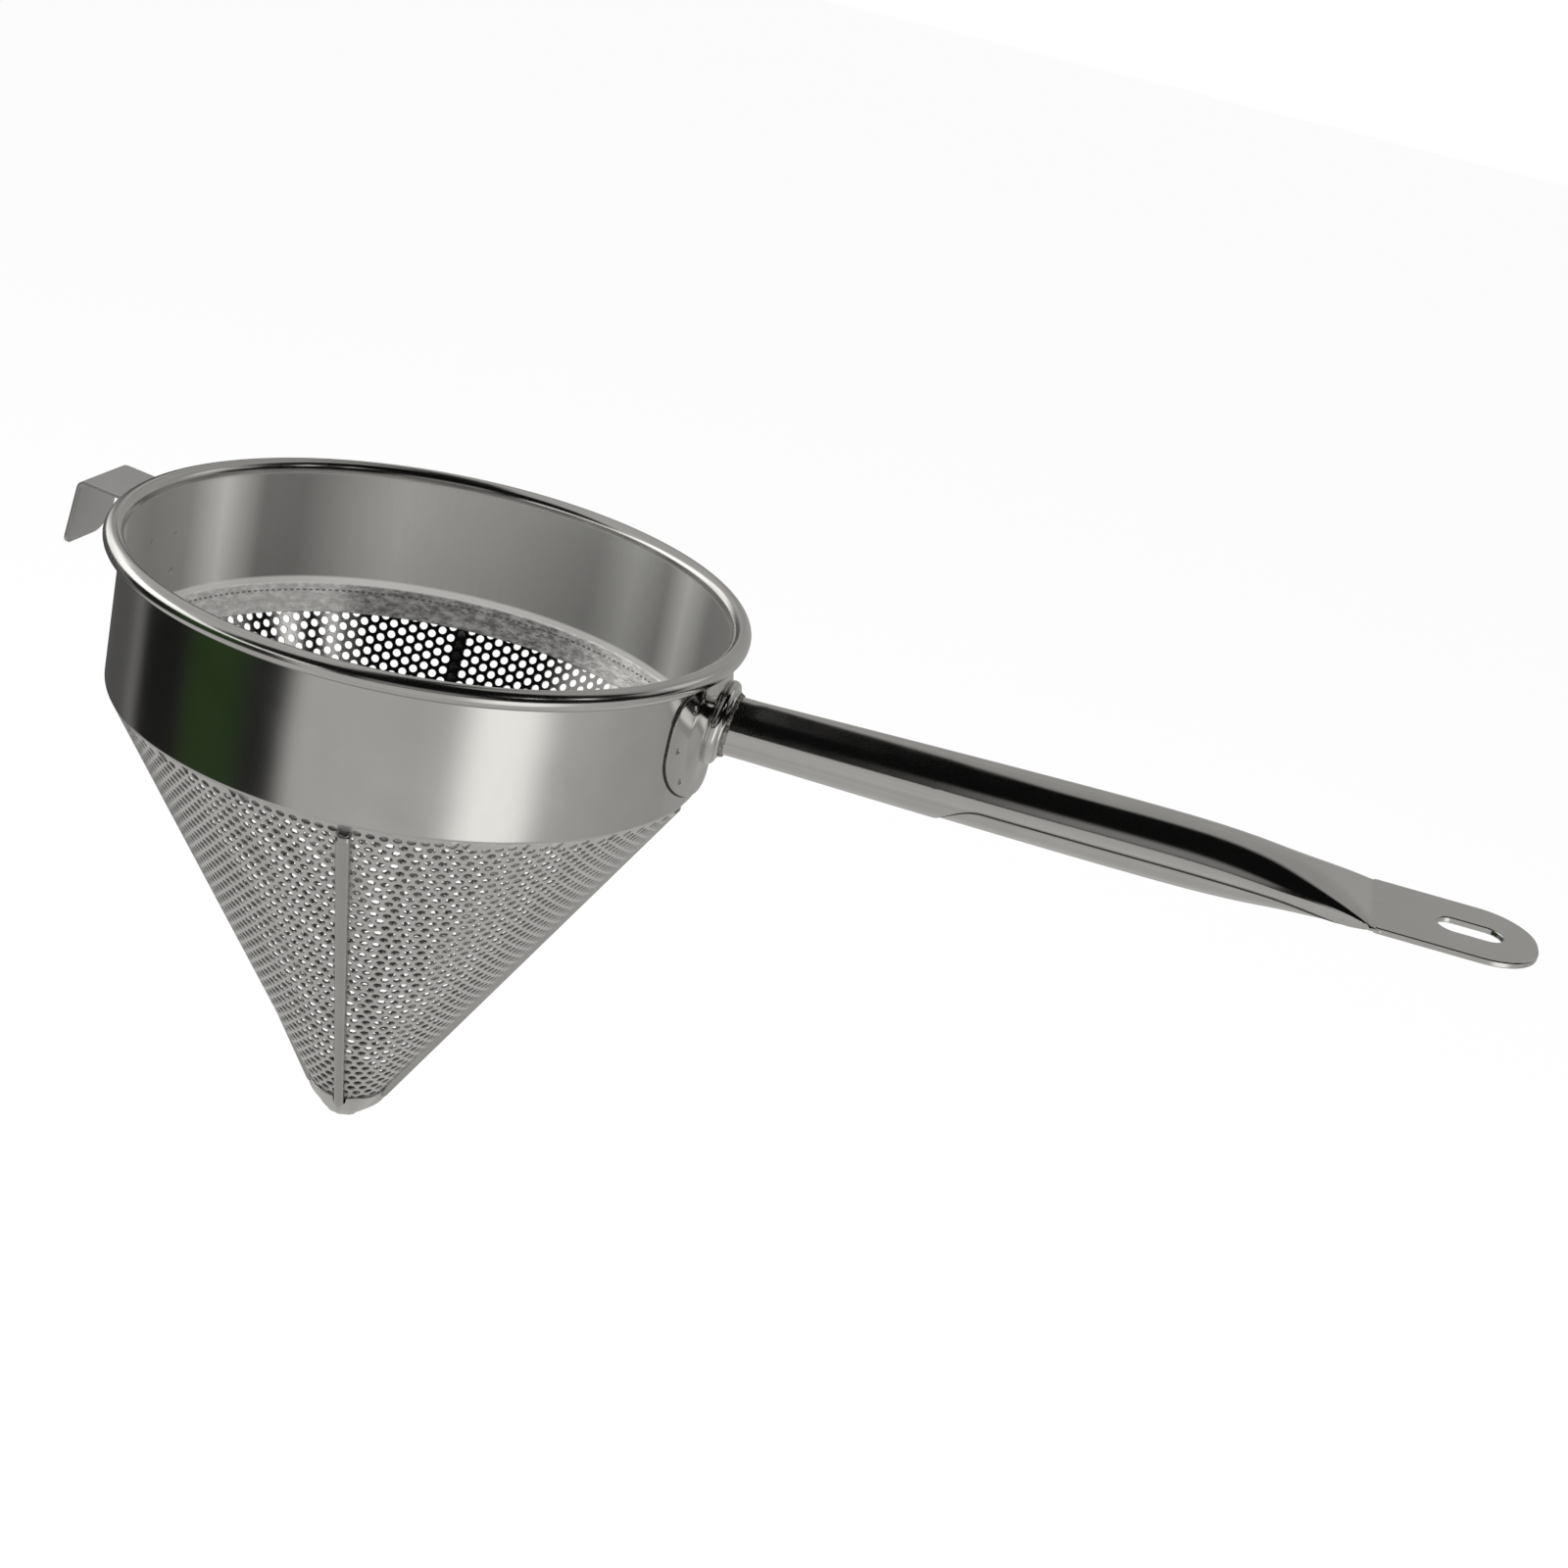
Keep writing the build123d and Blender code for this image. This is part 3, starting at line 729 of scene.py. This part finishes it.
def plateForm(share, turn):  # share 0 at the plate's edge, 1 at the mouth of the drawn cone
    s, angle = flangeSet, 2 * pi * turn
    mouth = (s["mouth"] * cos(angle), s["mouth"] * sin(angle))
    y, z = (e + (m - e) * share for e, m in zip(plateEdge(angle), mouth))
    skin = bandSet["radius"] + s["sheet"]
    onBand = sqrt(skin ** 2 - y * y)
    away = hypot(y, z if z > 0 else z * s["lowShare"])
    drawn = min(1.0, max(0.0, (s["flare"] - away) / (s["flare"] - s["mouth"])))
    rise = drawn ** s["risePower"] * min(1.0, share * s["edgeRise"])
    top = skin + s["mouthRise"] + s["tilt"] * (z - s["mouth"])
    return Vector((onBand + (top - onBand) * rise, y, z - s["drop"]))


def lean(bm):  # the socket stands a little askew, its lower side nearer the band
    for v in bm.verts:
        v.co.x += flangeSet["tilt"] * (v.co.z - flangeSet["mouth"])
        v.co.z -= flangeSet["drop"]


def makeFlange(material, gapShadeFinish):
    s = flangeSet
    bm = shapedGrid(s["across"], s["around"], plateForm)
    turnOutward(bm, lambda c: Vector((1, 0, 0)))
    plate = finishPiece("saddlePlate", bm, material, "handle_flange", 35)
    addWall(plate, s["wall"])
    addBevel(plate, s["bevel"], 2, 50)

    def onGap(u, w):  # painted shade: dark line along the plate's edge, in the gap to the band
        y, z = plateEdge(2 * pi * w, s["gapWidth"] * u - s["gapInset"])
        r = bandSet["radius"] + s["gapRise"]
        return sqrt(r * r - y * y), y, z - s["drop"]

    bm = shapedGrid(2, s["gapAround"], onGap)
    turnOutward(bm, lambda c: Vector((1, 0, 0)))
    finishPiece("plateEdgeShade", bm, gapShadeFinish, "handle_flange", 35)
    base = bandSet["radius"] + s["sheet"]
    ringR, collarR = s["ringRadius"] - s["ringRoll"], s["collarRadius"] - s["collarRoll"]
    collarX = base + s["length"] - s["collarRoll"]
    line = [(base + x, s["mouth"] + r) for x, r in s["throat"]]  # from inside the drawn cone
    line += arcPoints(base + s["ringPlace"], ringR, s["ringRoll"], *s["ringTurn"], s["ringSteps"])
    line += arcPoints(collarX, collarR, s["collarRoll"], *s["collarTurn"], s["collarSteps"])
    line += [(base + s["length"] - s["lip"], s["bore"])]
    bm = spunProfile([(x, 0, r) for x, r in line], s["steps"], axis=(1, 0, 0))
    turnOutward(bm, lambda c: Vector((0, c.y, c.z)))
    lean(bm)
    finishPiece("socketRings", bm, material, "handle_flange", 60)


def makeWeld(material):
    s = weldSet
    base = bandSet["radius"] + flangeSet["sheet"] + flangeSet["length"] + s["away"]
    angles = [radians(a) for a in range(0, 360, 30)]
    ring = [(base + s["long"] * cos(a), 0, s["radius"] + s["thick"] * sin(a)) for a in angles]
    bm = spunProfile(ring, s["steps"], axis=(1, 0, 0), closed=True)
    for v in bm.verts:
        lump, fine = (noise.noise(v.co * grain) * size for grain, size in zip(s["grains"], s["lumps"]))
        slip = noise.noise(v.co * s["grains"][2] + Vector(s["slipPlace"])) * s["slip"]
        v.co += Vector((0, v.co.y, v.co.z)).normalized() * (lump + fine) * s["swell"] + Vector((slip, 0, 0))
    lean(bm)
    finishPiece("tubeWeld", bm, material, "handle_weld", 0)


# Hook: a strip bent twice

hookSet = {"turn": 175.6, "width": 30.0, "sheet": 1.2, "leg": 36.0, "reach": 26.6, "drop": 26.0,
           "flare": 3.2,
           "tilt": 2.5, "bend": 2.4, "corners": (10.0, 3.5), "beadGap": -0.6, "bandGap": 0.05, "along": 110,
           "across": 24, "crowding": 1.5, "middle": 12, "bendSteps": 8, "bevel": 0.2}


def satinSteel():
    # Hook strip: dull, fine cross grain
    paint = Paint("satinSteel")
    grain = paint.noise(1.0, 4.0, 0.7, paint.stretched((300.0, 1400.0, 300.0)))
    tone = paint.mixColor(paint.noise(60.0, 3.0, 0.6), (0.57, 0.565, 0.56, 1), (0.70, 0.695, 0.69, 1))
    normal = paint.bump(grain, 0.3, 0.00006)
    paint.wire(Base_Color=tone, Metallic=1.0, Roughness=0.36 + 0.1 * grain, Normal=normal)
    return paint.material


def walkPath(path, share):  # point part of the way along an open path
    spans = [(Vector(q) - Vector(p)).length for p, q in zip(path, path[1:])]
    want = share * sum(spans)
    for p, q, span in zip(path, path[1:], spans):
        if want <= span:
            return Vector(p).lerp(Vector(q), want / span if span else 0)
        want -= span
    return Vector(path[-1])


def makeHook(material):
    s = hookSet
    top = -bandSet["bead"] - s["beadGap"]
    inner, outer = bandSet["radius"] + s["bandGap"], bandSet["radius"] + s["reach"]
    radius = s["bend"] + s["sheet"]
    tilt = degrees(atan2(s["flare"], s["drop"]))
    path = [(inner, top - s["leg"])]
    path += arcPoints(inner + radius, top - radius, radius, 180, -90, s["bendSteps"])
    path += arcPoints(outer - radius, top - radius, radius, 90, -90 + tilt, s["bendSteps"])
    path += [(outer + s["flare"], top - s["drop"])]
    length = sum((Vector(q) - Vector(p)).length for p, q in zip(path, path[1:]))

    def placed(u, w):
        along = 1 - (1 - u) ** s["crowding"]
        corner = s["corners"][w <= 0.5]
        near = max(0.0, corner - length * (1 - along))
        half = s["width"] / 2 - (corner - sqrt(max(0.0, corner ** 2 - near ** 2)))
        x, z = walkPath(path, along)
        return x, -(2 * w - 1) * half, z + s["tilt"] * min(1.0, max(0.0, (x - inner) / s["reach"]))

    bm = shapedGrid(s["along"], s["across"], placed, 0.002)
    turnOutward(bm, lambda c: Vector((c.x - (inner + outer) / 2, 0, c.z - top + s["middle"])))
    bmesh.ops.rotate(bm, verts=bm.verts, matrix=Matrix.Rotation(radians(s["turn"]), 3, "Z"))
    hook = finishPiece("hookStrip", bm, material, "hook", 40)
    addWall(hook, s["sheet"])
    addBevel(hook, s["bevel"], 2, 50)


print("helpers ready")
polish = polishedSteel("polishedSteel")
handleFinish = polishedSteel("handleSteel", 0.07, 0.2, 0.08)
ribFinish = polishedSteel("ribSteel", 0.2, 0.2, 0.2, ("dim", "plain"))
gapShadeFinish = gapShadeSteel()
makeBand(bandSteel())
print("band made")
makeSheet(sheetSteel())
print("sheet made")
for number in range(ribSet["count"]):
    makeRib(number, ribFinish)
makeCap(polish, gapShadeFinish)
print("ribs and cap made")
makeHandle(handleFinish)
makeUnderside(handleFinish, gapShadeFinish)
makeTab(handleFinish)
makeFlange(plateSteel(), gapShadeFinish)
makeWeld(weldSteel())
makeHook(satinSteel())
print("handle, flange and hook made")


# Studio: pale floor well below, white surround, soft lamps, and a room that only reflections see

studioSet = {"floorZ": -0.53, "floorSize": 8.0, "floorTone": (0.93, 0.93, 0.93, 1), "floorGlow": 0.9,
             "worldFill": 0.75}
lampSet = {"keyLamp": ((-0.9, -0.6, 1.3), (0, 0, -0.08), 0.9, 26.0),  # place, aim, size and power
           "fillLamp": ((1.2, -0.5, 0.6), (0.1, 0, -0.08), 1.0, 9.0)}
cameraSet = {"place": (0.24914, -0.84308, 0.30544), "look": (-0.112348, 0.919472, -0.376762),
             "upward": (-0.274267, 0.33574, 0.901142), "lens": 58.5, "sensor": 36.0,
             "shift": (-15 / 1600, 1 / 1600), "clip": (0.01, 50.0)}
# Places in the room: degrees round it from straight ahead, and heights as shares of its radius
roomSet = {"radius": 3.0, "segments": 48, "rings": 24, "ahead": -73.5, "cloud": 0.9,
           "tint": (1.0, 0.985, 0.96, 1), "greenTint": (0.5, 1.0, 0.28, 1),
           "sky": 0.005, "ground": 0.54, "horizon": (0.02, -0.03),
           "behind": 0.52, "behindEdge": (0.1, -0.1), "above": (-0.66, -0.5),
           "edgeAhead": (-0.14, 0.04, -0.92, -0.15), "edgeFar": (-0.14, -0.19, 0.0, 1.2),
           "dark": 0.975, "darkTurn": ((-128, -114), (-38, -49)), "darkTop": (0.3, 0.1),
           "dusk": 0.82, "duskTurn": (-114, -130), "duskTop": (0.4, 0.2),
           "patch": 0.75, "patchTurn": ((12, 29), (58, 41)), "patchRise": ((-0.75, -0.5), (0.02, -0.08)),
           "shade": 0.22, "shadeTurn": (66, 90),
           "glow": 0.24, "glowTurn": ((-22, -13), (30, 10)), "glowRise": ((0.01, 0.1), (0.52, 0.3)),
           "window": 1.3, "windowTurn": ((-165, -145), (-27, -34)), "windowFoot": (0.02, 0.06),
           "windowTop": (-60, -100, 0.2, 0.46), "windowEdge": (0.05, -0.04),
           "panes": ((61, 68, 0.5, 0.66, 1.3), (42, 47.5, 0.58, 0.68, 1.2), (84, 120, 0.3, 0.6, 0.35),
                     (33, 40, 0.58, 0.68, 0.16)), "paneSoft": (1.5, 0.02),
           "green": 0.034, "greenTurn": ((-94, -84), (-54, -66)), "greenRise": ((-0.6, -0.45), (0.1, 0.0))}


def makeRoom():
    # What the steel mirrors: grey ground, dark sky ahead, pale low behind, dark left, bright patch right
    s, paint = roomSet, Paint("roomTone")
    x, y, z = [value / s["radius"] for value in paint.axes()]
    ahead = radians(s["ahead"])
    near = x * cos(ahead) + y * sin(ahead)
    right = y * cos(ahead) - x * sin(ahead)
    turn = paint.math("ARCTAN2", right, near) * (180 / pi)
    cloud = paint.noise(s["cloud"], 2.0, 0.5)
    edge = paint.range(x, *s["edgeAhead"], smooth=False) + paint.range(x, *s["edgeFar"])
    level = s["sky"] + paint.range(near - edge, *s["behindEdge"]) * s["behind"] * (0.75 + 0.5 * cloud)
    level = level + paint.range(z, *s["horizon"]) * (s["ground"] * (0.8 + 0.4 * cloud) - level)
    above = paint.range(z, *s["above"])
    dark = paint.between(turn, *s["darkTurn"]) * paint.range(z, *s["darkTop"]) * above
    level = level * (1 - dark * s["dark"])
    dusk = paint.range(turn, *s["duskTurn"]) * paint.range(z, *s["duskTop"]) * above
    level = level * (1 - dusk * s["dusk"])
    level = level + paint.between(turn, *s["patchTurn"]) * paint.between(z, *s["patchRise"]) * s["patch"]
    level = level * (1 - paint.range(turn, *s["shadeTurn"]) * above * s["shade"])
    level = level + paint.between(turn, *s["glowTurn"]) * paint.between(z, *s["glowRise"]) * s["glow"]
    overTop = z - paint.range(turn, *s["windowTop"])
    window = paint.between(turn, *s["windowTurn"]) * paint.range(z, *s["windowFoot"])
    window = window * paint.range(overTop, *s["windowEdge"])
    level = level + window * s["window"] * (0.5 + cloud)
    a, b = s["paneSoft"]
    for start, end, foot, top, power in s["panes"]:
        pane = paint.between(turn, (start - a, start + a), (end + a, end - a))
        level = level + pane * paint.between(z, (foot - b, foot + b), (top + b, top - b)) * power
    green = paint.between(turn, *s["greenTurn"]) * paint.between(z, *s["greenRise"])
    tint = paint.mixColor(green, s["tint"], s["greenTint"])
    level = level + green * s["green"]
    paint.surface(paint.node("ShaderNodeEmission", {}, {"Color": tint, "Strength": level}))
    bm = bmesh.new()
    bmesh.ops.create_uvsphere(bm, u_segments=s["segments"], v_segments=s["rings"], radius=s["radius"])
    bmesh.ops.reverse_faces(bm, faces=bm.faces)
    room = linkMesh("room", bm, paint.material)
    room.visible_camera = room.visible_shadow = room.visible_diffuse = room.visible_transmission = False


def makeFloor():
    s, paint = studioSet, Paint("floorTone")
    paint.wire(Base_Color=s["floorTone"], Roughness=0.9)
    seen = paint.node("ShaderNodeLightPath", {}, {}, "Is Camera Ray") * s["floorGlow"]
    glow = paint.node("ShaderNodeEmission", {}, {"Strength": 1.0})
    matt = Signal(paint, paint.shader.outputs[0])
    paint.surface(paint.node("ShaderNodeMixShader", {}, {0: seen, 1: matt, 2: glow}))
    bm = bmesh.new()
    bmesh.ops.create_grid(bm, x_segments=1, y_segments=1, size=s["floorSize"])
    bmesh.ops.translate(bm, vec=(0, 0, s["floorZ"]), verts=bm.verts)
    floor = linkMesh("floor", bm, paint.material)
    floor.visible_glossy = False


def makeWorld():
    world = bpy.data.worlds.new("studio")
    world.use_nodes = True
    tree = world.node_tree
    back = tree.nodes["Background"]
    lightPath = tree.nodes.new("ShaderNodeLightPath")
    level = tree.nodes.new("ShaderNodeMapRange")
    level.inputs["To Min"].default_value = studioSet["worldFill"]
    level.inputs["To Max"].default_value = 1.0
    seen = lightPath.outputs["Is Camera Ray"]
    for kind in ("Is Glossy Ray", "Is Transmission Ray"):
        either = tree.nodes.new("ShaderNodeMath")
        either.operation = "MAXIMUM"
        tree.links.new(seen, either.inputs[0])
        tree.links.new(lightPath.outputs[kind], either.inputs[1])
        seen = either.outputs[0]
    tree.links.new(seen, level.inputs["Value"])
    back.inputs["Color"].default_value = (1, 1, 1, 1)
    tree.links.new(level.outputs[0], back.inputs["Strength"])
    bpy.context.scene.world = world


def makeLamp(name, place, aim, size, power):
    data = bpy.data.lights.new(name, "AREA")
    data.shape, data.size, data.energy = "SQUARE", size, power
    lamp = bpy.data.objects.new(name, data)
    bpy.context.scene.collection.objects.link(lamp)
    lamp.location = place
    lamp.visible_glossy = False
    lamp.rotation_euler = (Vector(aim) - Vector(place)).to_track_quat("-Z", "Y").to_euler()


def makeCamera():
    s = cameraSet
    data = bpy.data.cameras.new("camera")
    data.lens, data.sensor_width = s["lens"], s["sensor"]
    data.shift_x, data.shift_y = s["shift"]
    data.clip_start, data.clip_end = s["clip"]
    camera = bpy.data.objects.new("camera", data)
    bpy.context.scene.collection.objects.link(camera)
    look, upward = Vector(s["look"]), Vector(s["upward"])
    turn = Matrix((look.cross(upward), upward, -look)).transposed()
    camera.matrix_world = Matrix.Translation(s["place"]) @ turn.to_4x4()
    bpy.context.scene.camera = camera


makeFloor()
makeWorld()
makeCamera()
for name, lamp in lampSet.items():
    makeLamp(name, *lamp)
makeRoom()
print("studio ready")

bpy.context.scene.view_settings.view_transform = "Standard"
